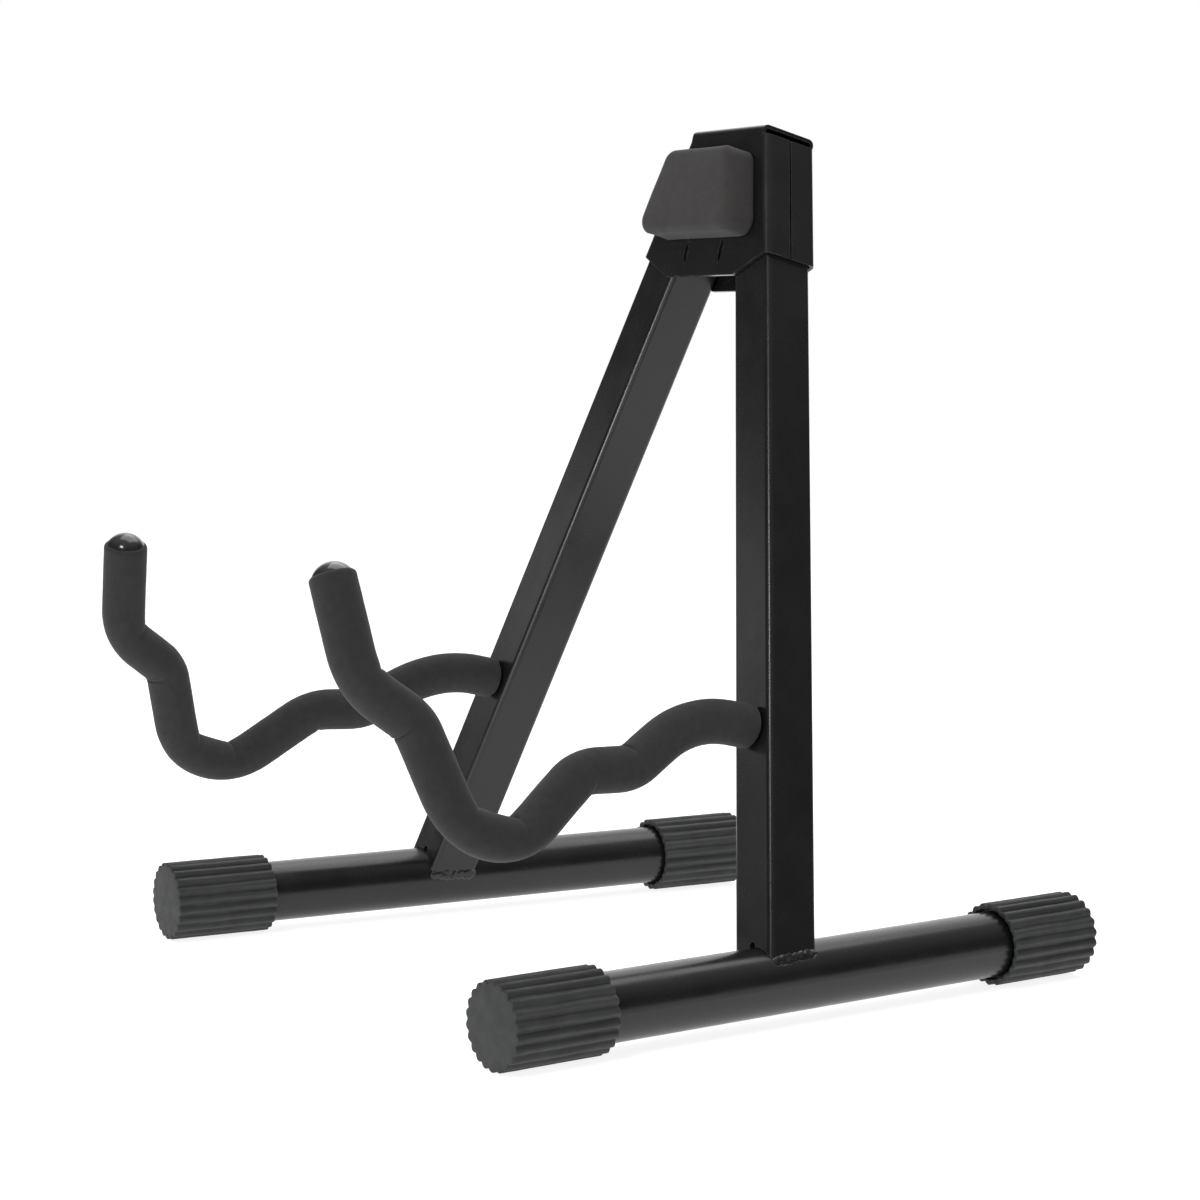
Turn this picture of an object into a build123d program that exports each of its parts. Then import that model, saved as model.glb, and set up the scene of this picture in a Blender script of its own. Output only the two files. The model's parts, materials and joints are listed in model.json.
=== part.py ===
"""Folding A-frame stand for a guitar, standing open on the floor.

Two square legs hang on rivets inside a folded steel saddle and close towards each other.
Each leg stands on a round foot tube with rubber caps and carries one bent, foam-covered arm.

Frame: +Z up, the stand faces -Y, +X is the right side seen from in front.
The origin is on the floor under the middle of the stand's outline.
The legs lie in one plane that leans back, and the arms bend in planes square to it.
"""

import os
from math import cos, radians, sin, sqrt, tan

from build123d import *

# ---- driving dimensions (millimetres and degrees) ----

leg_spacing = 248.5  # between the two leg axes, at the foot tubes
leg_splay = radians(18.93)  # each open leg from the stand's middle plane
leg_lean = radians(13.68)  # lean of the leg plane back from upright
foot_toe = radians(3.38)  # each foot tube, rear ends towards each other

leg_size = 22.0
leg_wall = 1.5
leg_corner = 2.5
pivot_spacing = 42.72  # between the two rivets
leg_above_pivot = 21.0
fold_clearance = 0.33  # folded leg to the inside of the saddle's side bends
vent_radius = 1.6

foot_radius = 12.7
foot_wall = 1.2
foot_front_reach = 127.2  # from the leg axis to the cap's end face
foot_rear_reach = 152.9

cap_wall = 2.3  # rubber over the tube, between the ribs
cap_rib_height = 1.25
cap_rib_radius = 1.5
cap_rib_count = 22
cap_length = 44.3
cap_end_wall = 4.0
cap_edge_round = 0.8
cap_mouth_gap = 0.9
cap_mouth_depth = 3.0

sheet = 1.5
bracket_side_gap = 0.3  # leg wall to side flange, with the leg open
bracket_face_gap = 0.4  # leg wall to front and rear plate
bend_radius = 2.0  # inside the side bends
crown_radius = 1.0  # inside the top bends
crown_above_pivot = 27.5  # heights on the saddle are measured up the leg plane
flange_above_pivot = 23.7
flange_below_pivot = 25.7
tongue_below_pivot = 34.7
crown_side_step = 2.3  # the crown ends this far inside the fold line
tongue_side_step = 20.4  # and the tongue's foot this far
seam_width = 0.8
seam_forward = 0.5
lance_spacing = 24.0
lance_width = 2.6
lance_length = 11.0
lance_below_pivot = 24.2

rivet_radius = 2.5
rivet_head_radius = 3.8
rivet_head_height = 1.5
bush_wall = 2.0

pad_thickness = 14.0
pad_above_pivot = 15.7
pad_below_pivot = 19.3
pad_top_inset = 7.7  # from the saddle's fold line
pad_bottom_inset = 8.0
pad_corner = 6.0
pad_edge_round = 2.5
pad_pocket_gap = 0.2

rod_radius = 4.0
foam_wall = 4.5
foam_end_round = 1.8
foam_start_gap = 1.2  # between the leg's front face and the foam
arm_height = 94.4  # straight root of the arm, along the leg from the foot axis
arm_corners = [  # (forward of the leg axis, along the leg) where the straight runs would meet
    (39.7, arm_height),
    (67.4, 68.9),
    (89.6, 64.4),
    (129.6, 16.7),
    (159.7, 70.2),
    (182.7, 79.9),
]
arm_bend_radii = [49.0, 20.0, 23.0, 23.8, 15.0, 24.0]
arm_tip_rise = radians(71.6)  # the upturned end, above the forward direction
arm_tip_length = 39.2  # from the last corner to the foam's end

tip_cap_wall = 3.2
tip_cap_skirt = 8.0
tip_dome_height = 4.2
rod_end_depth = 1.0  # rod end below the foam's end

weld_leg = 1.9
weld_step = 1.6
arm_weld_leg = 1.1

running_gap = 0.05  # rivet in its bush
grip_gap = 0.05  # foam, rubber and plastic that grip a rod or tube
slip_gap = 0.1  # a rod in its hole, a bush in the leg
cope_gap = 0.2  # leg end to foot tube, under the weld

# ---- derived sizes ----

leg_half = leg_size / 2
cap_core_radius = foot_radius + cap_wall
cap_radius = cap_core_radius + cap_rib_height
foot_axis_height = cap_radius
bush_radius = rivet_radius + bush_wall
foam_radius = rod_radius + foam_wall
tip_cap_radius = rod_radius + tip_cap_wall

bracket_inner = leg_half + bracket_face_gap
bracket_outer = bracket_inner + sheet
flange_inner = leg_half + bracket_side_gap
flange_outer = flange_inner + sheet

# heights up the leg plane, from the foot axes
apex_height = leg_spacing / 2 / tan(leg_splay)  # where the two leg axes would meet
pivot_x = pivot_spacing / 2
pivot_height = apex_height - pivot_x / tan(leg_splay)
pivot_along_leg = pivot_height / cos(leg_splay)
bracket_top = pivot_height + crown_above_pivot
flange_top = pivot_height + flange_above_pivot
flange_bottom = pivot_height - flange_below_pivot
tongue_bottom = pivot_height - tongue_below_pivot
lance_height = pivot_height - lance_below_pivot
pad_top = pivot_height + pad_above_pivot
pad_bottom = pivot_height - pad_below_pivot

# the folded leg's sharp mitre edge stays inside the round of the side bend
mitre_gap = bend_radius - sqrt((bend_radius - fold_clearance) ** 2 - (bend_radius - bracket_face_gap) ** 2)
flange_reach = (flange_inner / cos(leg_splay) - leg_half) / tan(leg_splay)
mitre_start = flange_reach - mitre_gap / sin(leg_splay)  # on the outer wall, above the rivet

tip_forward = arm_corners[-1][0] + arm_tip_length * cos(arm_tip_rise)
tip_height = arm_corners[-1][1] + arm_tip_length * sin(arm_tip_rise)
stand_front = (
    tip_forward * cos(leg_lean)
    - tip_height * cos(leg_splay) * sin(leg_lean)
    + foam_radius
)
stand_rear = foot_rear_reach * cos(foot_toe) + cap_radius * sin(foot_toe)
leg_line_y = (stand_front - stand_rear) / 2

# where the foot tube's top line meets the front of the leg, along the leg
cope_crest = (foot_radius - leg_half * sin(leg_lean)) / (cos(leg_splay) * cos(leg_lean))

# ---- directions and planes ----

across = Vector(1, 0, 0)
up_plane = Vector(0, sin(leg_lean), cos(leg_lean))
forward = Vector(0, -cos(leg_lean), sin(leg_lean))
up_leg = up_plane * cos(leg_splay) - across * sin(leg_splay)
outward = across * cos(leg_splay) + up_plane * sin(leg_splay)
foot_back = Vector(-sin(foot_toe), cos(foot_toe), 0)
foot_out = Vector(cos(foot_toe), sin(foot_toe), 0)

middle = Vector(0, leg_line_y, foot_axis_height)
leg_base = middle + across * (leg_spacing / 2)
pivot = middle + across * pivot_x + up_plane * pivot_height

bracket_plane = Plane(origin=middle, x_dir=across, z_dir=forward)
leg_plane = Plane(origin=leg_base, x_dir=outward, z_dir=up_leg)
pivot_plane = Plane(origin=pivot, x_dir=outward, z_dir=forward)
foot_plane = Plane(origin=leg_base, x_dir=foot_out, z_dir=foot_back)
arm_plane = Plane(origin=leg_base, x_dir=forward, z_dir=-outward)
arm_root_plane = Plane(origin=leg_base + up_leg * arm_height, x_dir=outward, z_dir=forward)
cope_crest_plane = Plane(origin=leg_base + up_leg * cope_crest, x_dir=outward, z_dir=forward)


def flange_x(height, offset):
    """Half width at a height of a line parallel to the open leg, offset from the leg's axis."""
    return (apex_height - height) * tan(leg_splay) + offset / cos(leg_splay)


fold_bottom = flange_x(flange_bottom, flange_outer)
tongue_half_width = fold_bottom - tongue_side_step
crown_half_width = flange_x(flange_top, flange_outer) - crown_side_step
pad_bottom_half_width = flange_x(pad_bottom, flange_outer) - pad_bottom_inset
pad_top_half_width = flange_x(pad_top, flange_outer) - pad_top_inset


def is_side_bend(edge):
    """True for the slanting edges where a plate turns into a side flange."""
    slant = abs((edge % 0.5).dot(across))
    return 0.1 < slant < 0.9


# ---- saddle bracket: front plate, crown and rear plate in one folded sheet, with four flanges ----


def flange_outline(low, high, offset):
    """Corners of a symmetric outline whose sides run parallel to the open legs."""
    return [
        (-flange_x(low, offset), low),
        (flange_x(low, offset), low),
        (flange_x(high, offset), high),
        (-flange_x(high, offset), high),
    ]


with BuildPart() as leg_space:
    with BuildSketch(bracket_plane.offset(-bracket_inner)):
        with BuildLine():
            Polyline(*flange_outline(tongue_bottom - sheet, bracket_top, flange_inner), close=True)
        make_face()
    extrude(amount=2 * bracket_inner)
    fillet(leg_space.edges().filter_by(is_side_bend), bend_radius)

with BuildPart() as crown_space:
    with BuildSketch(bracket_plane.offset(-bracket_inner)):
        with Locations((0, bracket_top - sheet)):
            Rectangle(3 * crown_half_width, 2 * (bracket_top - flange_top), align=(Align.CENTER, Align.MAX))
    extrude(amount=2 * bracket_inner)
    fillet(crown_space.edges().filter_by(Axis.X).group_by(Axis(middle, up_plane))[-1], crown_radius)

with BuildPart() as crown:
    with BuildSketch(bracket_plane.offset(-bracket_outer)):
        with Locations((0, bracket_top)):
            Rectangle(2 * crown_half_width, bracket_top - flange_top + sheet, align=(Align.CENTER, Align.MAX))
    extrude(amount=2 * bracket_outer)
    fillet(crown.edges().filter_by(Axis.X).group_by(Axis(middle, up_plane))[-1], crown_radius + sheet)
    add(crown_space.part, mode=Mode.SUBTRACT)

with BuildPart() as saddle_bracket:
    with BuildSketch(bracket_plane.offset(-bracket_outer)):
        with BuildLine():
            Polyline(*flange_outline(tongue_bottom, flange_top, flange_outer), close=True)
        make_face()
    extrude(amount=2 * bracket_outer)
    fillet(saddle_bracket.edges().filter_by(is_side_bend), bend_radius + sheet)
    add(leg_space.part, mode=Mode.SUBTRACT)
    # below the flanges each plate narrows to a tongue
    with BuildSketch(bracket_plane.offset(-bracket_outer)):
        with BuildLine():
            Polyline(
                (tongue_half_width, tongue_bottom - sheet),
                (tongue_half_width, tongue_bottom),
                (fold_bottom - bend_radius, flange_bottom),
                (fold_bottom + sheet, flange_bottom),
                (fold_bottom + leg_size, tongue_bottom - sheet),
                close=True,
            )
        make_face()
        mirror(about=Plane.YZ)
    extrude(amount=2 * bracket_outer, mode=Mode.SUBTRACT)
    add(crown.part)
    # the front and rear flanges meet at an open seam
    with BuildSketch(bracket_plane.offset(seam_forward)):
        with Locations((0, (flange_bottom + flange_top) / 2)):
            Rectangle(4 * crown_half_width, flange_top - flange_bottom + sheet)
    extrude(amount=seam_width / 2, both=True, mode=Mode.SUBTRACT)
    # rivet holes through both plates
    with BuildSketch(bracket_plane):
        with Locations((-pivot_x, pivot_height), (pivot_x, pivot_height)):
            Circle(rivet_radius)
    extrude(amount=2 * bracket_outer, both=True, mode=Mode.SUBTRACT)
    # two upright lens-shaped lances in the front plate, just below the pad
    with BuildSketch(bracket_plane):
        for side in (-1, 1):
            lance_x = side * lance_spacing / 2
            lance_bottom = (lance_x, lance_height - lance_length / 2)
            lance_top = (lance_x, lance_height + lance_length / 2)
            with BuildLine():
                ThreePointArc(lance_bottom, (lance_x + lance_width / 2, lance_height), lance_top)
                ThreePointArc(lance_top, (lance_x - lance_width / 2, lance_height), lance_bottom)
            make_face()
    extrude(amount=2 * bracket_outer, mode=Mode.SUBTRACT)

# ---- back rest pad: a soft block on the front plate, hollowed over the rivet heads ----

with BuildPart() as back_rest_pad:
    with BuildSketch(bracket_plane.offset(bracket_outer)) as pad_outline:
        with BuildLine():
            Polyline(
                (-pad_bottom_half_width, pad_bottom),
                (pad_bottom_half_width, pad_bottom),
                (pad_top_half_width, pad_top),
                (-pad_top_half_width, pad_top),
                close=True,
            )
        make_face()
        fillet(pad_outline.vertices(), pad_corner)
    extrude(amount=pad_thickness)
    fillet(back_rest_pad.faces().sort_by(Axis(middle, forward))[-1].edges(), pad_edge_round)
    with BuildSketch(bracket_plane.offset(bracket_outer)):
        with Locations((-pivot_x, pivot_height), (pivot_x, pivot_height)):
            Circle(rivet_head_radius + pad_pocket_gap)
    extrude(amount=rivet_head_height + pad_pocket_gap, mode=Mode.SUBTRACT)

# ---- right side: pieces at the rivet ----

with BuildPart() as pivot_rivet:
    with BuildSketch(pivot_plane):
        Circle(rivet_radius)
    extrude(amount=bracket_outer, both=True)
    for side in (1, -1):
        with BuildSketch(pivot_plane.offset(side * bracket_outer)):
            Circle(rivet_head_radius)
        extrude(amount=side * rivet_head_height)
    head_rims = pivot_rivet.edges().filter_by(GeomType.CIRCLE).sort_by(Axis(pivot, forward))
    fillet([head_rims[0], head_rims[-1]], rivet_head_height * 0.8)

with BuildPart() as pivot_bush:
    with BuildSketch(pivot_plane):
        Circle(bush_radius)
        Circle(rivet_radius + running_gap, mode=Mode.SUBTRACT)
    extrude(amount=leg_half, both=True)

# ---- right leg: square tube, coped over the foot tube and mitred beside the rivet ----

with BuildPart() as leg_tube:
    with BuildSketch(leg_plane):
        RectangleRounded(leg_size, leg_size, leg_corner)
        inner_size = leg_size - 2 * leg_wall
        RectangleRounded(inner_size, inner_size, leg_corner - leg_wall, mode=Mode.SUBTRACT)
    extrude(amount=pivot_along_leg + leg_above_pivot)
    with BuildSketch(foot_plane):
        Circle(foot_radius + cope_gap)
    extrude(amount=leg_size, both=True, mode=Mode.SUBTRACT)
    # the mitre lies along the side flange when the leg is folded
    with BuildSketch(pivot_plane):
        above = leg_above_pivot - mitre_start + leg_wall
        with BuildLine():
            Polyline(
                (leg_half + leg_wall, mitre_start - leg_wall / tan(leg_splay)),
                (leg_half + leg_wall, mitre_start + above),
                (leg_half - above * tan(leg_splay), mitre_start + above),
                close=True,
            )
        make_face()
    extrude(amount=leg_size, both=True, mode=Mode.SUBTRACT)
    with BuildSketch(pivot_plane):
        Circle(bush_radius)
    extrude(amount=leg_size, both=True, mode=Mode.SUBTRACT)
    # the arm enters the front wall, and a small vent opens at the crest of the cope
    with BuildSketch(arm_root_plane):
        Circle(rod_radius + slip_gap)
    extrude(amount=leg_size, mode=Mode.SUBTRACT)
    with BuildSketch(cope_crest_plane):
        Circle(vent_radius)
    extrude(amount=leg_size, mode=Mode.SUBTRACT)

# the bead fills the gap under each side wall and steps out beside it
with BuildPart() as leg_weld:
    weld_width = leg_wall + weld_step
    with BuildSketch(leg_plane):
        for side in (1, -1):
            with Locations((side * (leg_half + weld_step - weld_width / 2), 0)):
                Rectangle(weld_width, leg_size - leg_corner)
    extrude(amount=2 * foot_radius)
    with BuildSketch(foot_plane):
        Circle(foot_radius + weld_leg)
        Circle(foot_radius, mode=Mode.SUBTRACT)
    extrude(amount=leg_size, both=True, mode=Mode.INTERSECT)
    add(leg_tube.part, mode=Mode.SUBTRACT)

# ---- right foot tube and its caps ----

with BuildPart() as foot_tube:
    with BuildSketch(foot_plane.offset(-foot_front_reach + cap_end_wall)):
        Circle(foot_radius)
        Circle(foot_radius - foot_wall, mode=Mode.SUBTRACT)
    extrude(amount=foot_front_reach + foot_rear_reach - 2 * cap_end_wall)


def make_foot_cap(end_plane):
    """Ribbed rubber cap whose closed end is at the plane and whose mouth is along its normal."""
    with BuildPart() as cap:
        with BuildSketch(end_plane):
            Circle(cap_radius)
        extrude(amount=cap_length)
        end_rim = cap.edges().filter_by(GeomType.CIRCLE).sort_by(Axis(end_plane.origin, end_plane.z_dir))[0]
        fillet(end_rim, cap_edge_round)
        with BuildSketch(end_plane):
            Circle(cap_core_radius)
            with PolarLocations(cap_radius - cap_rib_radius, cap_rib_count, start_angle=90):
                Circle(cap_rib_radius)
        extrude(amount=cap_length, mode=Mode.INTERSECT)
        with BuildSketch(end_plane.offset(cap_end_wall)):
            Circle(foot_radius + grip_gap)
        extrude(amount=cap_length, mode=Mode.SUBTRACT)
        with BuildSketch(end_plane.offset(cap_length - cap_mouth_depth)):
            Circle(foot_radius + cap_mouth_gap)
        extrude(amount=cap_length, mode=Mode.SUBTRACT)
    return cap


front_end = leg_base - foot_back * foot_front_reach
rear_end = leg_base + foot_back * foot_rear_reach
front_foot_cap = make_foot_cap(Plane(origin=front_end, x_dir=foot_out, z_dir=foot_back))
rear_foot_cap = make_foot_cap(Plane(origin=rear_end, x_dir=foot_out, z_dir=-foot_back))

# ---- right arm: bent rod, foam sleeve, tip cap and the weld at its root ----

tip_direction = forward * cos(arm_tip_rise) + up_leg * sin(arm_tip_rise)
foam_end = leg_base + forward * tip_forward + up_leg * tip_height


def arm_route(start_forward, tip_length):
    """Corner points of the arm, from a point on its straight root to a point on its tip."""
    last_forward, last_height = arm_corners[-1]
    tip_point = (
        last_forward + tip_length * cos(arm_tip_rise),
        last_height + tip_length * sin(arm_tip_rise),
    )
    return [(start_forward, arm_height), *arm_corners, tip_point]


with BuildPart() as arm_rod:
    with BuildLine(arm_plane):
        rod_start = slip_gap + leg_wall - leg_half
        FilletPolyline(*arm_route(rod_start, arm_tip_length - rod_end_depth), radius=arm_bend_radii)
    with BuildSketch(arm_root_plane.offset(rod_start)):
        Circle(rod_radius)
    sweep()

with BuildPart() as arm_foam:
    with BuildLine(arm_plane):
        foam_start = leg_half + foam_start_gap
        FilletPolyline(*arm_route(foam_start, arm_tip_length), radius=arm_bend_radii)
    with BuildSketch(arm_root_plane.offset(foam_start)):
        Circle(foam_radius)
        Circle(rod_radius + grip_gap, mode=Mode.SUBTRACT)
    sweep()
    end_faces = arm_foam.faces().filter_by(GeomType.PLANE)
    fillet([face.outer_wire().edge() for face in end_faces], foam_end_round)
    with BuildSketch(Plane(origin=foam_end, z_dir=-tip_direction)):
        Circle(tip_cap_radius + grip_gap)
    extrude(amount=tip_cap_skirt, mode=Mode.SUBTRACT)

with BuildPart() as arm_tip_cap:
    with BuildSketch(Plane(origin=foam_end, x_dir=outward, z_dir=outward.cross(tip_direction))):
        with BuildLine():
            bore = rod_radius + grip_gap
            dome_radius = (tip_cap_radius**2 + tip_dome_height**2) / (2 * tip_dome_height)
            RadiusArc((0, tip_dome_height), (tip_cap_radius, 0), dome_radius)
            Polyline(
                (tip_cap_radius, 0),
                (tip_cap_radius, -tip_cap_skirt),
                (bore, -tip_cap_skirt),
                (bore, slip_gap - rod_end_depth),
                (0, slip_gap - rod_end_depth),
                (0, tip_dome_height),
            )
        make_face()
    revolve(axis=Axis(foam_end, tip_direction))

with BuildPart() as arm_weld:
    with BuildSketch(arm_root_plane.offset(leg_half)):
        Circle(rod_radius + arm_weld_leg)
    extrude(amount=arm_weld_leg, taper=45)
    with BuildSketch(arm_root_plane.offset(leg_half)):
        Circle(rod_radius)
    extrude(amount=arm_weld_leg, mode=Mode.SUBTRACT)

# ---- the left side mirrors the right ----

right_pieces = {
    "pivot_rivet": pivot_rivet,
    "pivot_bush": pivot_bush,
    "leg_tube": leg_tube,
    "leg_weld": leg_weld,
    "foot_tube": foot_tube,
    "front_foot_cap": front_foot_cap,
    "rear_foot_cap": rear_foot_cap,
    "arm_rod": arm_rod,
    "arm_foam": arm_foam,
    "arm_tip_cap": arm_tip_cap,
    "arm_weld": arm_weld,
}

os.makedirs("parts", exist_ok=True)
saddle_bracket.part.label = "saddle_bracket"
export_step(saddle_bracket.part, "parts/saddle_bracket.step")
back_rest_pad.part.label = "back_rest_pad"
export_step(back_rest_pad.part, "parts/back_rest_pad.step")
for name, right_piece in right_pieces.items():
    with BuildPart() as left_piece:
        mirror(right_piece.part, about=Plane.YZ)
    right_piece.part.label = f"right_{name}"
    export_step(right_piece.part, f"parts/right_{name}.step")
    left_piece.part.label = f"left_{name}"
    export_step(left_piece.part, f"parts/left_{name}.step")
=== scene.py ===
"""Looks of the folding guitar stand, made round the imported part.

Everything is in metres, in the part's own frame: +Z up, the stand faces -Y, and +X is the right
side seen from in front. The legs lie in one plane that leans back. On the right side, forward is
square to that plane, up_leg runs up the leg and outward is square to both.
"""

import json
import math

import bpy
import numpy as np
from mathutils import Matrix, Vector, noise


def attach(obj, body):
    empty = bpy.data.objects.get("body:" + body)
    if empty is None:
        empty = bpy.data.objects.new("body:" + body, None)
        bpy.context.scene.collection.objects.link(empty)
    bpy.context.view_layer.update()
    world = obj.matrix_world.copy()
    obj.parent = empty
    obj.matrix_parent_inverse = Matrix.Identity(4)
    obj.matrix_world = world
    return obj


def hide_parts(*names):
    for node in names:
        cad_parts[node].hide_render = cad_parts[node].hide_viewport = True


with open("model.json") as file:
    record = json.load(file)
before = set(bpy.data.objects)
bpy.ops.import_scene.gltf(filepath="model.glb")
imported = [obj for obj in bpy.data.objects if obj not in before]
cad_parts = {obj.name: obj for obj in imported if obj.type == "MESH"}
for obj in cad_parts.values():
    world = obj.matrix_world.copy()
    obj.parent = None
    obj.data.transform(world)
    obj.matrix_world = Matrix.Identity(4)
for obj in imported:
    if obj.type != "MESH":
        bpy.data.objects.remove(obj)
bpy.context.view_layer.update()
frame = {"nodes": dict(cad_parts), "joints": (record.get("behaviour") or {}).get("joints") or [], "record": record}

MM = 0.001

# ---- sizes of the visible pieces ----

leg_half = 11.0 * MM
foot_radius = 12.7 * MM

foam_radius = 8.5 * MM
foam_end_round = 1.8 * MM
foam_bore = 4.05 * MM
foam_start = 12.2 * MM  # forward of the leg's axis
tip_socket_radius = 7.25 * MM
tip_socket_depth = 8.0 * MM
arm_corners = [  # (forward, up the leg) where the arm's straight runs would meet
    (foam_start, 94.4 * MM),
    (39.7 * MM, 94.4 * MM),
    (67.4 * MM, 68.9 * MM),
    (89.6 * MM, 64.4 * MM),
    (129.6 * MM, 16.7 * MM),
    (159.7 * MM, 70.2 * MM),
    (182.7 * MM, 79.9 * MM),
]
arm_bend_radii = [49 * MM, 20 * MM, 23 * MM, 23.8 * MM, 15 * MM, 24 * MM]
arm_tip_rise = math.radians(71.6)
arm_tip_length = 39.2 * MM
tight_bend_radius = 30.0 * MM  # foam folds in bends tighter than this
long_bend_turn = 1.2  # and folds twice in one that turns further than this, in radians
fold_depth = 1.6 * MM
fold_width = 0.75 * MM
crease_depth = 0.3 * MM  # the finer creases beside the folds
crease_pitch = 3.6 * MM
foam_unevenness = 0.11 * MM
foam_grain = 0.03 * MM

cap_ribs = 22
cap_rib_height = 1.25 * MM
cap_edge_round = 0.6 * MM
cap_end_dome = 0.5 * MM
cap_mouth_gap = 0.9 * MM
cap_mouth_depth = 3.0 * MM
cap_end_wall = 4.0 * MM
cap_rib_sink = 0.13 * MM  # keeps uneven ribs from dipping below the floor
cap_rib_fade = 2.0 * MM  # rubbed crests and streaks come in over this far from the end
cap_rib_wander = 0.02  # radians
cap_ripple = 0.07 * MM
cap_streak_height = 0.07 * MM
cap_streak_length = 25.0 * MM
cap_streaks_per_radian = 26

pad_half_widths = (33.5 * MM, 21.8 * MM)  # at its bottom and top edges
pad_corner = 6.0 * MM
pad_front_round = 3.6 * MM
pad_crown = 0.5 * MM
pad_unevenness = 0.28 * MM
pad_grain = 0.04 * MM

weld_bead_size = 1.7 * MM
weld_toe_reach = 0.6  # shares of the bead's size: out over the foot tube,
weld_wall_reach = 1.2  # up the leg,
weld_bulge = 0.44  # and its swelling between the two
weld_pitch = 2.8 * MM

# ---- places and directions, from the frame ----

mounts = {m["name"]: m for m in frame["record"]["mounts"]}
joints = {j["name"]: j for j in frame["joints"]}

across = Vector((1, 0, 0))
forward = Vector(mounts["back_rest_face"]["axis"])
up_plane = forward.cross(across)
up_leg = Vector(mounts["right_cradle"]["axis"])
outward = up_leg.cross(forward)
pivot = Vector(joints["right_leg_fold"]["pos_m"])


def points_of(node):
    """The node's vertices as rows of an array."""
    vertices = frame["nodes"][node].data.vertices
    places = np.empty(3 * len(vertices))
    vertices.foreach_get("co", places)
    return places.reshape(-1, 3)


def long_axis(node):
    """Middle and direction, towards +Y, of a long straight node."""
    points = points_of(node)
    direction = np.linalg.svd(points - points.mean(0), full_matrices=False)[2][0]
    if direction[1] < 0:
        direction = -direction
    return Vector((points.min(0) + points.max(0)) / 2), Vector(direction)


foot_middle, foot_back = long_axis("right_foot_tube")
leg_base = pivot - up_leg * ((pivot.z - foot_middle.z) / up_leg.z)

# ---- mesh helpers ----


def new_piece(name, points, faces, material, sharp_angle=40):
    """A smooth-shaded mesh object with edges sharper than sharp_angle degrees left crisp."""
    mesh = bpy.data.meshes.new(name)
    mesh.from_pydata([tuple(p) for p in points], [], faces)
    mesh.validate()
    for polygon in mesh.polygons:
        polygon.use_smooth = True
    mesh.set_sharp_from_angle(angle=math.radians(sharp_angle))
    mesh.materials.append(material)
    piece = bpy.data.objects.new(name, mesh)
    bpy.context.scene.collection.objects.link(piece)
    return piece


def loft(rings, closed=False):
    """Points and faces of a skin over rings of equal length. A ring of one point closes an end.

    closed joins the last ring to the first. The skin faces outwards when the rings turn
    anticlockwise seen against the direction they advance in.
    """
    points, faces, starts = [], [], []
    for ring in rings:
        starts.append(len(points))
        points.extend(ring)
    pairs = list(zip(range(len(rings)), range(1, len(rings))))
    if closed:
        pairs.append((len(rings) - 1, 0))
    for a, b in pairs:
        n = max(len(rings[a]), len(rings[b]))
        for i in range(n):
            j = (i + 1) % n
            if len(rings[a]) == 1:
                faces.append((starts[a], starts[b] + j, starts[b] + i))
            elif len(rings[b]) == 1:
                faces.append((starts[a] + i, starts[a] + j, starts[b]))
            else:
                faces.append((starts[a] + i, starts[a] + j, starts[b] + j, starts[b] + i))
    return points, faces


def mirrored(points, faces):
    """The left side's copy of right-side geometry, with its faces turned back outwards."""
    return [Vector((-p.x, p.y, p.z)) for p in points], [face[::-1] for face in faces]


def lumps(place, size, seed=0.0):
    """Smooth noise, about -1 to 1, whose lumps are about size across."""
    return noise.noise(place / size + Vector((seed, 2.3 * seed, -1.7 * seed)))


def steps(start, stop, step):
    """Evenly spaced values from start to stop, both included, about step apart."""
    count = max(1, round(abs(stop - start) / step))
    return [start + (stop - start) * i / count for i in range(count + 1)]


def quarter_round(radius, count):
    """(distance from the end, drop from the full radius) round a quarter circle, from the end."""
    angles = [math.radians(90) * i / count for i in range(count + 1)]
    return [(radius * (1 - math.cos(a)), radius * (1 - math.sin(a))) for a in angles]


# ---- materials ----

RANGE_SOCKETS = ("From Min", "From Max", "To Min", "To Max")


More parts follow.
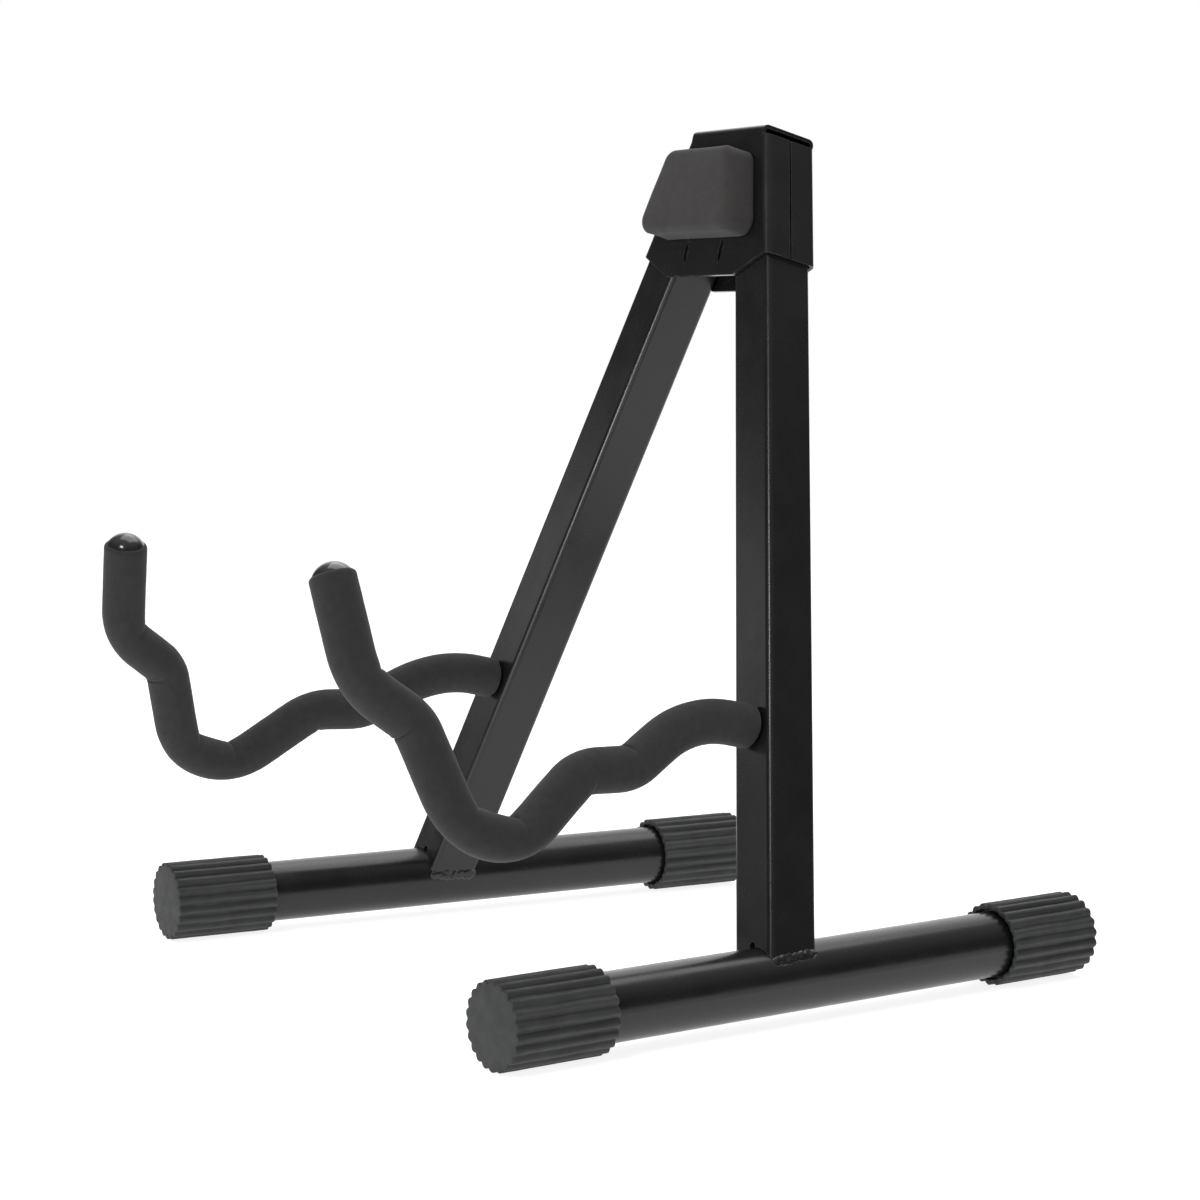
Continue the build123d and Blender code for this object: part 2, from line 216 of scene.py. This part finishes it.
class Surface:
    """A Principled material in the making. Patterns use object coordinates, in metres."""

    def __init__(self, name, **values):
        self.material = bpy.data.materials.new(name)
        self.material.use_nodes = True
        self.nodes = self.material.node_tree.nodes
        self.links = self.material.node_tree.links
        self.shader = self.nodes["Principled BSDF"]
        self.place = self.nodes.new("ShaderNodeTexCoord").outputs["Object"]
        for socket, value in values.items():
            self.shader.inputs[socket.replace("_", " ")].default_value = value

    def noise(self, size, detail, rough=0.5):
        """Noise from 0 to 1 with features about size across."""
        node = self.nodes.new("ShaderNodeTexNoise")
        node.inputs["Scale"].default_value = 1 / size
        node.inputs["Detail"].default_value = detail
        node.inputs["Roughness"].default_value = rough
        self.links.new(self.place, node.inputs["Vector"])
        return node.outputs["Fac"]

    def cells(self, size):
        """Distance to the nearest cell middle, from 0, with cells about size across."""
        node = self.nodes.new("ShaderNodeTexVoronoi")
        node.inputs["Scale"].default_value = 1 / size
        self.links.new(self.place, node.inputs["Vector"])
        return node.outputs["Distance"]

    def attribute(self, name):
        """A value stored on the mesh's points."""
        node = self.nodes.new("ShaderNodeAttribute")
        node.attribute_name = name
        return node.outputs["Fac"]

    def edges(self, radius):
        """About 0 on flat ground, rising to 1 where an outside edge is sharper than radius."""
        bevel = self.nodes.new("ShaderNodeBevel")
        bevel.samples = 4
        bevel.inputs["Radius"].default_value = radius
        geometry = self.nodes.new("ShaderNodeNewGeometry")
        dot = self.nodes.new("ShaderNodeVectorMath")
        dot.operation = "DOT_PRODUCT"
        self.links.new(bevel.outputs["Normal"], dot.inputs[0])
        self.links.new(geometry.outputs["Normal"], dot.inputs[1])
        return self.ranged(dot.outputs["Value"], 1.0, 0.85, 0.0, 1.0)

    def ranged(self, value, low, high, to_low, to_high):
        """The value carried from one range to another and held inside it."""
        node = self.nodes.new("ShaderNodeMapRange")
        for socket, number in zip(RANGE_SOCKETS, (low, high, to_low, to_high)):
            node.inputs[socket].default_value = number
        self.links.new(value, node.inputs["Value"])
        return node.outputs["Result"]

    def blend(self, factor, a, b):
        """Colour a where factor is 0 and b where it is 1. Each is a colour or an output."""
        node = self.nodes.new("ShaderNodeMix")
        node.data_type = "RGBA"
        self.links.new(factor, node.inputs["Factor"])
        for socket, colour in ((node.inputs[6], a), (node.inputs[7], b)):
            if isinstance(colour, tuple):
                socket.default_value = (*colour, 1)
            else:
                self.links.new(colour, socket)
        return node.outputs[2]

    def bump(self, height, distance, strength):
        """Adds relief, up to distance deep, on top of any relief already there."""
        node = self.nodes.new("ShaderNodeBump")
        node.inputs["Distance"].default_value = distance
        node.inputs["Strength"].default_value = strength
        self.links.new(height, node.inputs["Height"])
        normal = self.shader.inputs["Normal"]
        if normal.is_linked:
            self.links.new(normal.links[0].from_socket, node.inputs["Normal"])
        self.links.new(node.outputs["Normal"], normal)

    def colour(self, output):
        self.links.new(output, self.shader.inputs["Base Color"])

    def roughness(self, output):
        self.links.new(output, self.shader.inputs["Roughness"])


def make_powder_coat(name, colour, rough_low, rough_high):
    """Satin black powder coat: orange peel, fine grain and a painted highlight along its sharp edges, in patches.
    """
    surface = Surface(name, Specular_IOR_Level=0.42)
    dark = tuple(0.82 * c for c in colour)
    light = tuple(1.18 * c for c in colour)
    worn = tuple(2.2 * c for c in colour)
    # colour of the painted highlight that is laid along sharp edges
    edge_highlight = tuple(9 * c for c in colour)
    cloud = surface.ranged(surface.noise(28 * MM, 3), 0.3, 0.7, 0, 1)
    base = surface.blend(cloud, dark, light)
    speck = surface.ranged(surface.noise(0.5 * MM, 1), 0.62, 0.75, 0, 0.12)
    base = surface.blend(speck, base, worn)
    # painted edge highlight: the edge mask, broken up into patches, blends in the highlight colour
    lightened = surface.nodes.new("ShaderNodeMath")
    lightened.operation = "MULTIPLY"
    patches = surface.noise(6 * MM, 4)
    surface.links.new(surface.edges(0.6 * MM), lightened.inputs[0])
    surface.links.new(surface.ranged(patches, 0.35, 0.65, 0.3, 1.0), lightened.inputs[1])
    surface.colour(surface.blend(lightened.outputs["Value"], base, edge_highlight))
    surface.roughness(surface.ranged(surface.noise(14 * MM, 4), 0.3, 0.7, rough_low, rough_high))
    surface.bump(surface.noise(2.2 * MM, 2), 0.03 * MM, 0.5)
    surface.bump(surface.noise(0.45 * MM, 1), 0.004 * MM, 0.5)
    return surface.material


def make_foam(name, colour, sheen):
    """Closed-cell foam: mottled and matte, with fine pits that are darkened by painted shade."""
    surface = Surface(name, Specular_IOR_Level=0.25, Sheen_Weight=sheen, Sheen_Roughness=0.6)
    dark = tuple(0.9 * c for c in colour)
    light = tuple(1.1 * c for c in colour)
    # colour of the painted shade inside the pits
    pore_shade = tuple(0.6 * c for c in colour)
    mottle = surface.ranged(surface.noise(4.5 * MM, 4, 0.6), 0.32, 0.68, 0, 1)
    base = surface.blend(mottle, dark, light)
    # painted shade: darker at the cell middles, where the cell bump below sinks in
    pore_shade_mask = surface.ranged(surface.cells(0.6 * MM), 0.06, 0.22, 0.5, 0)
    surface.colour(surface.blend(pore_shade_mask, base, pore_shade))
    surface.roughness(surface.ranged(surface.noise(3 * MM, 2), 0.3, 0.7, 0.82, 0.95))
    surface.bump(surface.noise(3.2 * MM, 3), 0.06 * MM, 0.5)
    surface.bump(surface.cells(0.6 * MM), 0.03 * MM, 0.5)
    return surface.material


def make_rubber(name, colour):
    """Moulded rubber, a little paler on its rib crests and in streaks along them."""
    surface = Surface(name, Specular_IOR_Level=0.4)
    dark = tuple(0.85 * c for c in colour)
    light = tuple(1.15 * c for c in colour)
    lightened = tuple(1.7 * c for c in colour)
    cloud = surface.ranged(surface.noise(9 * MM, 3), 0.3, 0.7, 0, 1)
    base = surface.blend(cloud, dark, light)
    streak = surface.ranged(surface.attribute("streak"), 0.05, 0.5, 0, 0.6)
    base = surface.blend(streak, base, lightened)
    crest = surface.ranged(surface.attribute("crest"), 0.75, 1.0, 0, 0.5)
    surface.colour(surface.blend(crest, base, lightened))
    surface.roughness(surface.ranged(surface.noise(5 * MM, 3), 0.3, 0.7, 0.55, 0.68))
    surface.bump(surface.noise(0.5 * MM, 2), 0.03 * MM, 0.6)
    return surface.material


def make_gloss_plastic(name, colour):
    """Gloss black moulding with faint handling marks."""
    surface = Surface(name, Specular_IOR_Level=0.5, Coat_Weight=0.3, Coat_Roughness=0.08)
    light = tuple(1.5 * c for c in colour)
    surface.colour(surface.blend(surface.noise(7 * MM, 3), colour, light))
    surface.roughness(surface.ranged(surface.noise(1.5 * MM, 5, 0.7), 0.35, 0.7, 0.14, 0.26))
    surface.bump(surface.noise(3 * MM, 2), 0.02 * MM, 0.4)
    return surface.material


def make_turned_steel(name, colour):
    """Plain steel with fine machining variation."""
    surface = Surface(name, Metallic=1.0)
    dark = tuple(0.8 * c for c in colour)
    surface.colour(surface.blend(surface.noise(2 * MM, 4), dark, colour))
    surface.roughness(surface.ranged(surface.noise(0.6 * MM, 3), 0.3, 0.7, 0.28, 0.42))
    surface.bump(surface.noise(0.4 * MM, 2), 0.01 * MM, 0.5)
    return surface.material


powder_coat = make_powder_coat("powder_coat", (0.0075, 0.0076, 0.0078), 0.22, 0.3)
rod_coat = make_powder_coat("rod_coat", (0.012, 0.012, 0.012), 0.4, 0.5)
rivet_steel = make_powder_coat("rivet_steel", (0.016, 0.016, 0.017), 0.3, 0.4)
bush_steel = make_turned_steel("bush_steel", (0.45, 0.45, 0.45))
cap_rubber = make_rubber("cap_rubber", (0.0245, 0.0255, 0.0265))
arm_foam = make_foam("arm_foam", (0.0195, 0.0187, 0.0185), 0.08)
pad_foam = make_foam("pad_foam", (0.0325, 0.0295, 0.0288), 0.08)
tip_plastic = make_gloss_plastic("tip_plastic", (0.008, 0.008, 0.008))

slot_materials = {
    "powder_coat": powder_coat,
    "rod_coat": rod_coat,
    "rivet_steel": rivet_steel,
    "bush_steel": bush_steel,
    "cap_rubber": cap_rubber,
    "arm_foam": arm_foam,
    "pad_foam": pad_foam,
    "tip_plastic": tip_plastic,
}
for part in frame["record"]["subparts"]:
    slots = frame["nodes"][part["node"]].data.materials
    slots.clear()
    slots.append(slot_materials[part["material_slot"]])

# ---- arm foam: a sleeve swept along the bent arm, creased where the bends squeeze it ----


def route_spans():
    """The arm's straight runs and arcs as (length, bend). Bend is 1 / radius, upwards positive."""
    corners = [Vector(c) for c in arm_corners]
    tip_direction = Vector((math.cos(arm_tip_rise), math.sin(arm_tip_rise)))
    corners.append(corners[-1] + arm_tip_length * tip_direction)
    spans, used = [], 0.0
    for before, corner, after, radius in zip(corners, corners[1:], corners[2:], arm_bend_radii):
        arriving, leaving = corner - before, after - corner
        turn = -arriving.angle_signed(leaving)
        tangent = radius * math.tan(abs(turn) / 2)
        spans.append((arriving.length - used - tangent, 0.0))
        spans.append((radius * abs(turn), math.copysign(1 / radius, turn)))
        used = tangent
    spans.append(((corners[-1] - corners[-2]).length - used, 0.0))
    return spans


arm_spans = route_spans()
arm_length = sum(length for length, bend in arm_spans)


def fold_shape(travelled):
    """(setback, distance to the nearest fold) at a distance along the arm.

    A tight bend folds the foam once, a long one twice. The inner side runs straight between
    folds, so it is set back from the smooth bend, most of all at the fold itself.
    """
    for length, bend in arm_spans:
        if travelled <= length:
            break
        travelled -= length
    tightness = abs(bend)
    if tightness < 1 / tight_bend_radius:
        return 0.0, arm_length
    turn = length * tightness
    half = turn / (4 if turn > long_bend_turn else 2)
    past_fold = travelled * tightness % (2 * half) - half
    setback = (1 / tightness - foam_radius) * (1 / math.cos(half - abs(past_fold)) - 1)
    return setback, past_fold / tightness


def arm_station(travelled):
    """(place, direction, bend) in the arm's plane at a distance along the foam."""
    place, heading = Vector(arm_corners[0]), 0.0
    for length, bend in arm_spans:
        part = min(length, travelled)
        turned = heading + bend * part
        if bend:
            ahead = math.sin(turned) - math.sin(heading)
            rise = math.cos(heading) - math.cos(turned)
            place += Vector((ahead, rise)) / bend
        else:
            place += part * Vector((math.cos(heading), math.sin(heading)))
        heading, travelled = turned, travelled - part
        if travelled <= 0:
            break
    return place, heading, bend


def soft_bend(travelled):
    """The arm's bend averaged over a short stretch, so that it comes and goes smoothly."""
    reach = 4 * MM
    near = [min(max(travelled + reach * k / 3, 0), arm_length) for k in range(-3, 4)]
    return sum(arm_station(t)[2] for t in near) / len(near)


def arm_ring(travelled, radius, count, relief=None):
    """A ring of points round the arm, in the part's frame."""
    place, heading, _ = arm_station(travelled)
    centre = leg_base + forward * place.x + up_leg * place.y
    inner = -forward * math.sin(heading) + up_leg * math.cos(heading)
    ring = []
    for i in range(count):
        angle = 2 * math.pi * i / count
        spoke = inner * math.cos(angle) + outward * math.sin(angle)
        out = radius + (relief(centre + spoke * radius, math.cos(angle)) if relief else 0)
        ring.append(centre + spoke * out)
    return ring


def make_arm_foam(side, seed):
    """Foam sleeve from the leg to the tip cap, with its bore and the socket for the cap."""
    count, step = 72, 0.6 * MM
    rounding = quarter_round(foam_end_round, 5)
    stations = list(rounding)
    stations += [(t, 0) for t in steps(foam_end_round, arm_length - foam_end_round, step)[1:-1]]
    stations += [(arm_length - distance, drop) for distance, drop in reversed(rounding)]
    end_face_middle = (foam_bore + foam_radius - foam_end_round) / 2
    rings = [arm_ring(0, foam_bore, count), arm_ring(0, end_face_middle, count)]
    for travelled, drop in stations:
        bend = soft_bend(travelled)
        phase = 2 * math.pi * travelled / crease_pitch
        phase += 2.5 * lumps(Vector((travelled, 0, 0)), 6 * MM, seed)
        setback, from_fold = fold_shape(travelled)

        def relief(place, toward):
            """How far the foam stands out. toward is 1 where an upward bend squeezes it."""
            inner = max(0.0, toward * math.copysign(1, bend))
            outer = max(0.0, -toward * math.copysign(1, bend))
            squeeze, stretch = [side * abs(bend) * foam_radius for side in (inner, outer)]
            wander = 1.6 * lumps(place, 5 * MM, seed + 4)
            crease = (0.5 + 0.5 * math.cos(phase + wander)) ** 4
            apart = from_fold + 0.7 * MM * lumps(place, 7 * MM, seed + 8)
            fold = math.exp(-((apart / fold_width) ** 2))
            fold -= 0.3 * math.exp(-(((abs(apart) - 2.4 * MM) / (1.3 * MM)) ** 2))
            out = -(crease_depth * crease + fold_depth * fold) * squeeze**1.5
            out -= 0.95 * setback * inner**1.5
            out += 0.25 * MM * squeeze - 0.3 * MM * stretch
            out += foam_unevenness * lumps(place, 11 * MM, seed)
            out += foam_grain * lumps(place, 2.4 * MM, seed)
            return out - drop

        rings.append(arm_ring(travelled, foam_radius, count, relief))
    end = arm_length
    rings.append(arm_ring(end, (foam_radius - foam_end_round + tip_socket_radius) / 2, count))
    rings.append(arm_ring(end, tip_socket_radius, count))
    rings.append(arm_ring(end - tip_socket_depth, tip_socket_radius, count))
    for travelled in steps(end - tip_socket_depth, 0, 4 * MM)[:-1]:
        rings.append(arm_ring(travelled, foam_bore, count))
    points, faces = loft(rings, closed=True)
    if side == "left":
        points, faces = mirrored(points, faces)
    piece = new_piece(f"{side}_arm_foam_sleeve", points, faces, arm_foam)
    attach(piece, f"{side}_leg")
    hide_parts(f"{side}_arm_foam")


make_arm_foam("right", 1.0)
make_arm_foam("left", 7.0)

# ---- back rest pad: a soft block with a crowned face and rounded edges ----


def rounded_outline(corners, radius, step):
    """[(point, outward normal)] anticlockwise round a polygon with rounded corners."""
    outline = []
    count = len(corners)
    for i, corner in enumerate(corners):
        arriving = (corner - corners[i - 1]).normalized()
        leaving = (corners[(i + 1) % count] - corner).normalized()
        turn = -arriving.angle_signed(leaving)
        centre_offset = radius / math.cos(turn / 2)
        centre = corner + centre_offset * (leaving - arriving).normalized()
        for angle in steps(0, turn, step / radius):
            normal = Matrix.Rotation(angle - math.pi / 2, 2) @ arriving
            outline.append((centre + radius * normal, normal))
    evened = []
    for i, (point, normal) in enumerate(outline):
        following, next_normal = outline[(i + 1) % len(outline)]
        gaps = max(1, round((following - point).length / step))
        for k in range(gaps):
            between = normal if k == 0 else next_normal.lerp(normal, 0.5)
            evened.append((point.lerp(following, k / gaps), between))
    return evened


def make_back_rest():
    """The pad: flat against the saddle, with soft sides and a slightly crowned face."""
    low, high = [f(points_of("back_rest_pad") @ np.array(up_plane)) for f in (np.min, np.max)]
    back, front = [f(points_of("back_rest_pad") @ np.array(forward)) for f in (np.min, np.max)]
    bottom, top = pad_half_widths
    corners = [Vector(c) for c in ((-bottom, low), (bottom, low), (top, high), (-top, high))]
    outline = rounded_outline(corners, pad_corner, 1.2 * MM)
    thickness = front - back
    edge = thickness - pad_crown
    profile = [(0.0, 0.9 * MM), (0.3 * MM, 0.4 * MM), (1.0 * MM, 0.0)]
    sides = steps(2 * MM, edge - pad_front_round, 1.2 * MM)
    profile += [(t, 0.25 * MM * math.sin(math.pi * t / edge)) for t in sides]
    rounding = list(reversed(quarter_round(pad_front_round, 6)))[1:]
    profile += [(edge - distance, drop) for distance, drop in rounding]
    rings = []

    def place(flat, depth):
        return across * flat.x + up_plane * flat.y + forward * (back + depth)

    middle = Vector((0, (low + high) / 2))
    inset = 0.6 * MM
    rings.append([place(middle, 0)])
    rings.append([place(middle.lerp(p - inset * n, 0.5), 0) for p, n in outline])
    for depth, drop in profile:
        rings.append([place(p - drop * n, depth) for p, n in outline])
    face_rings = 14
    for share in [1 - k / face_rings for k in range(1, face_rings)]:
        depth = edge + pad_crown * (1 - share**2.5)
        shrunk = [middle.lerp(p - pad_front_round * n, share) for p, n in outline]
        rings.append([place(flat, depth) for flat in shrunk])
    rings.append([place(middle, thickness)])
    points, faces = loft(rings)
    uneven = []
    for point in points:
        proud = min(1.0, max(0.0, (point.dot(forward) - back) / (3 * MM)))
        push = pad_unevenness * lumps(point, 16 * MM, 3) + pad_grain * lumps(point, 4 * MM, 5)
        from_middle = point - place(middle, thickness / 2)
        uneven.append(point + from_middle.normalized() * push * proud)
    piece = new_piece("back_rest_cushion", uneven, faces, pad_foam)
    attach(piece, "saddle")
    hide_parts("back_rest_pad")


make_back_rest()

# ---- foot caps: ribbed rubber cups with a slightly domed end ----


def make_foot_cap(side, end):
    """A ribbed cup with a domed end, an uneven mouth and a bore that fits the foot tube."""
    node = f"{side}_{end}_foot_cap"
    middle, back = long_axis(f"{side}_foot_tube")
    inwards = back if end == "front" else -back
    along = (points_of(node) - np.array(middle)) @ np.array(inwards)
    closed_end = middle + inwards * along.min()
    length = along.max() - along.min()
    radius = middle.z
    valley = radius - cap_rib_height - cap_rib_sink
    down, sideways = Vector((0, 0, -1)), Vector((0, 0, -1)).cross(inwards)
    count = cap_ribs * 12
    seed = {"front": 0.0, "rear": 5.0}[end] + {"right": 0.0, "left": 11.0}[side]
    crests, streaks = [], []

    def ring(distance, base, rib, ripple=0.0, dome=0.0):
        """Points round the cap at a distance from its end, with ribs standing out by rib.

        ripple is the height of uneven patches, and dome the bulge of the end.
        """
        points = []
        for i in range(count):
            angle = 2 * math.pi * i / count
            spoke = down * math.cos(angle) + sideways * math.sin(angle)
            spot = spoke * radius + inwards * distance
            wander = cap_rib_wander * lumps(spot, 14 * MM, seed)
            wave = (0.5 + 0.5 * math.cos(cap_ribs * (angle + wander))) ** 0.6
            fade = min(1.0, distance / cap_rib_fade) * min(1.0, rib / cap_rib_height)
            stretched = (cap_streaks_per_radian * angle, distance / cap_streak_length, seed)
            streak = fade * lumps(Vector(stretched), 1.0)
            uneven = ripple * lumps(spot, 5 * MM, seed) + cap_streak_height * streak
            out = base + rib * wave + uneven
            domed = min(out, valley + rib * wave - cap_edge_round) / radius
            depth = distance + dome * domed**2
            points.append(closed_end + inwards * depth + spoke * out)
            crests.append(wave * fade)
            streaks.append(streak)
        return points

    def centre(distance):
        crests.append(0.0)
        streaks.append(0.0)
        return [closed_end + inwards * distance]

    dome = cap_end_dome
    edge = cap_edge_round
    rings = [centre(0.0)]
    for share in (0.15, 0.3, 0.45, 0.6, 0.75, 0.88, 1.0):
        rings.append(ring(0, (valley - edge) * share, cap_rib_height * share**2, 0, dome))
    for distance, drop in quarter_round(edge, 4)[1:]:
        rings.append(ring(distance, valley - drop, cap_rib_height, 0, dome))
    lip = 0.5 * MM
    for distance in steps(dome + edge, length - lip, 3 * MM)[1:-1]:
        rings.append(ring(distance, valley, cap_rib_height, cap_ripple))
    for distance, drop in reversed(quarter_round(lip, 3)):
        rings.append(ring(length - distance, valley - drop, cap_rib_height, 0.04 * MM))
    mouth = foot_radius + cap_mouth_gap
    rings.append(ring(length, mouth + 0.15 * MM, 0.35 * MM, 0.25 * MM))
    rings.append(ring(length - 0.4 * MM, mouth - 0.15 * MM, 0.3 * MM, 0.3 * MM))
    rings.append(ring(length - cap_mouth_depth, mouth - 0.1 * MM, 0.1 * MM))
    grip = foot_radius + 0.05 * MM
    rings.append(ring(length - cap_mouth_depth, grip, 0))
    rings.append(ring(cap_end_wall, grip, 0))
    rings.append(centre(cap_end_wall))
    points, faces = loft(rings)
    piece = new_piece(f"{node}_moulding", points, faces, cap_rubber, 50)
    for name, values in (("crest", crests), ("streak", streaks)):
        piece.data.attributes.new(name, "FLOAT", "POINT").data.foreach_set("value", values)
    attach(piece, f"{side}_leg")
    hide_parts(node)


for side in ("right", "left"):
    for end in ("front", "rear"):
        make_foot_cap(side, end)

# ---- leg welds: a rippled bead along each side of the leg's foot ----


def on_foot(out, ahead):
    """Point on top of the right foot tube, out and ahead of the leg's axis."""
    flat = outward * out + forward * ahead
    across_tube = flat - foot_back * flat.dot(foot_back)
    rise = up_leg - foot_back * up_leg.dot(foot_back)
    a = rise.dot(rise)
    b = 2 * rise.dot(across_tube)
    c = across_tube.dot(across_tube) - foot_radius**2
    height = (-b + math.sqrt(max(0.0, b * b - 4 * a * c))) / (2 * a)
    return leg_base + flat + up_leg * height


def make_leg_welds(side, seed):
    """One lumpy bead along the foot of each side wall of the leg."""
    reach = leg_half - 0.2 * MM
    points, faces = [], []
    for out_sign in (1, -1):
        rings = []
        for ahead in steps(-reach, reach, 0.3 * MM):
            shift = lumps(Vector((ahead, out_sign, 0)), 3 * MM, seed)
            ripple = 0.08 * math.cos(2 * math.pi * ahead / weld_pitch + shift)
            ends = math.sqrt(max(0.02, 1 - (abs(ahead) / (reach + 0.02 * MM)) ** 8))
            swell = 0.95 + ripple + 0.2 * lumps(Vector((ahead, 0, out_sign)), 4 * MM, seed)
            size = weld_bead_size * ends * swell
            root = on_foot(out_sign * leg_half, ahead)
            toe = on_foot(out_sign * (leg_half + weld_toe_reach * size), ahead)
            wall = root + up_leg * weld_wall_reach * size
            chord_middle = (toe + wall) / 2
            pull = chord_middle + (chord_middle - root).normalized() * weld_bulge * size
            arc = []
            for k in range(9):
                t = k / 8
                spot = toe * (1 - t) ** 2 + pull * 2 * t * (1 - t) + wall * t**2
                lump = 0.5 * lumps(spot, 2.2 * MM, seed) + 0.25 * lumps(spot, 0.9 * MM, seed)
                arc.append(spot + (spot - root).normalized() * MM * max(-0.3, lump) * ends)
            ring = [root, *arc]
            rings.append(ring if out_sign > 0 else ring[::-1])
        first, last = [[sum(ring, Vector()) / len(ring)] for ring in (rings[0], rings[-1])]
        rings = [first, *rings, last]
        more_points, more_faces = loft(rings)
        faces += [tuple(i + len(points) for i in face) for face in more_faces]
        points += more_points
    if side == "left":
        points, faces = mirrored(points, faces)
    piece = new_piece(f"{side}_leg_weld_bead", points, faces, powder_coat, 60)
    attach(piece, f"{side}_leg")
    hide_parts(f"{side}_leg_weld")


make_leg_welds("right", 2.0)
make_leg_welds("left", 6.0)

# ---- studio: pale floor, soft lights and the camera ----


def make_floor():
    """White paper that glows a little, so that only the contact shadows show on it."""
    half = 6.0
    corners = [Vector((x * half, y * half, 0)) for x, y in ((-1, -1), (1, -1), (1, 1), (-1, 1))]
    surface = Surface("floor_paper", Roughness=0.9, Specular_IOR_Level=0.0, Emission_Strength=0.84)
    surface.shader.inputs["Emission Color"].default_value = (1, 1, 1, 1)
    surface.colour(surface.blend(surface.noise(0.9, 2), (0.5, 0.5, 0.5), (0.54, 0.54, 0.54)))
    floor = new_piece("floor", corners, [(0, 1, 2, 3)], surface.material)


def make_light(name, place, target, size, power):
    """A rectangular area light at a place, facing the target; size in metres, power in watts."""
    lamp = bpy.data.lights.new(name, "AREA")
    lamp.shape = "RECTANGLE"
    lamp.size, lamp.size_y = size
    lamp.energy = power
    light = bpy.data.objects.new(name, lamp)
    light.location = place
    light.rotation_euler = (Vector(target) - Vector(place)).to_track_quat("-Z", "Y").to_euler()
    bpy.context.scene.collection.objects.link(light)


def make_surroundings():
    """A dim room with soft glows for reflections, and white where the camera sees it."""
    world = bpy.data.worlds.new("studio")
    bpy.context.scene.world = world
    world.use_nodes = True
    nodes, links = world.node_tree.nodes, world.node_tree.links
    direction = nodes.new("ShaderNodeTexCoord").outputs["Generated"]
    glows = [  # (towards, cosine where it starts, cosine where it is full, strength)
        ((-0.75, 0.55, 0.37), 0.75, 0.97, 1.3),
        ((0.0, 0.1, 1.0), 0.3, 1.0, 0.5),
    ]
    total = nodes.new("ShaderNodeValue").outputs[0]
    total.default_value = 0.1
    for towards, start, full, strength in glows:
        dot = nodes.new("ShaderNodeVectorMath")
        dot.operation = "DOT_PRODUCT"
        dot.inputs[1].default_value = Vector(towards).normalized()
        links.new(direction, dot.inputs[0])
        fade = nodes.new("ShaderNodeMapRange")
        fade.interpolation_type = "SMOOTHSTEP"
        for socket, number in zip(RANGE_SOCKETS, (start, full, 0.0, strength)):
            fade.inputs[socket].default_value = number
        links.new(dot.outputs["Value"], fade.inputs["Value"])
        add = nodes.new("ShaderNodeMath")
        links.new(total, add.inputs[0])
        links.new(fade.outputs["Result"], add.inputs[1])
        total = add.outputs["Value"]
    seen = nodes.new("ShaderNodeLightPath")
    choose = nodes.new("ShaderNodeMix")
    links.new(seen.outputs["Is Camera Ray"], choose.inputs["Factor"])
    links.new(total, choose.inputs[2])
    choose.inputs[3].default_value = 1.0
    links.new(choose.outputs[0], nodes["Background"].inputs["Strength"])
    nodes["Background"].inputs["Color"].default_value = (1, 1, 1, 1)


def make_camera():
    """The view that the whole stand is seen in, from its right and slightly above."""
    target = Vector((0.0, 0.0125, 0.1470))
    azimuth, elevation, roll = math.radians(56.77), math.radians(4.98), math.radians(0.26)
    distance = 1.1473
    data = bpy.data.cameras.new("camera")
    data.lens = 85.86
    data.sensor_width = 36
    camera = bpy.data.objects.new("camera", data)
    back = Vector((
        math.sin(azimuth) * math.cos(elevation),
        -math.cos(azimuth) * math.cos(elevation),
        math.sin(elevation),
    ))
    camera.location = target + distance * back
    looking = (-back).to_track_quat("-Z", "Y")
    camera.rotation_mode = "QUATERNION"
    camera.rotation_quaternion = looking @ Matrix.Rotation(roll, 3, "Z").to_quaternion()
    bpy.context.scene.collection.objects.link(camera)
    bpy.context.scene.camera = camera


make_floor()
make_light("top_softbox", (-0.25, 0.35, 1.5), (0, 0, 0.1), (1.4, 1.4), 14)
make_light("left_card", (-1.2, -0.78, 0.39), (0, 0, 0.2), (0.7, 0.26), 0.5)
make_light("front_strip", (0.63, -0.96, 1.05), (0, 0, 0.15), (0.3, 0.2), 4.5)
make_light("low_card", (0.4, -1.0, 0.11), (0, 0, 0.12), (0.3, 0.16), 3.2)
make_surroundings()
make_camera()
bpy.context.scene.view_settings.view_transform = "Standard"
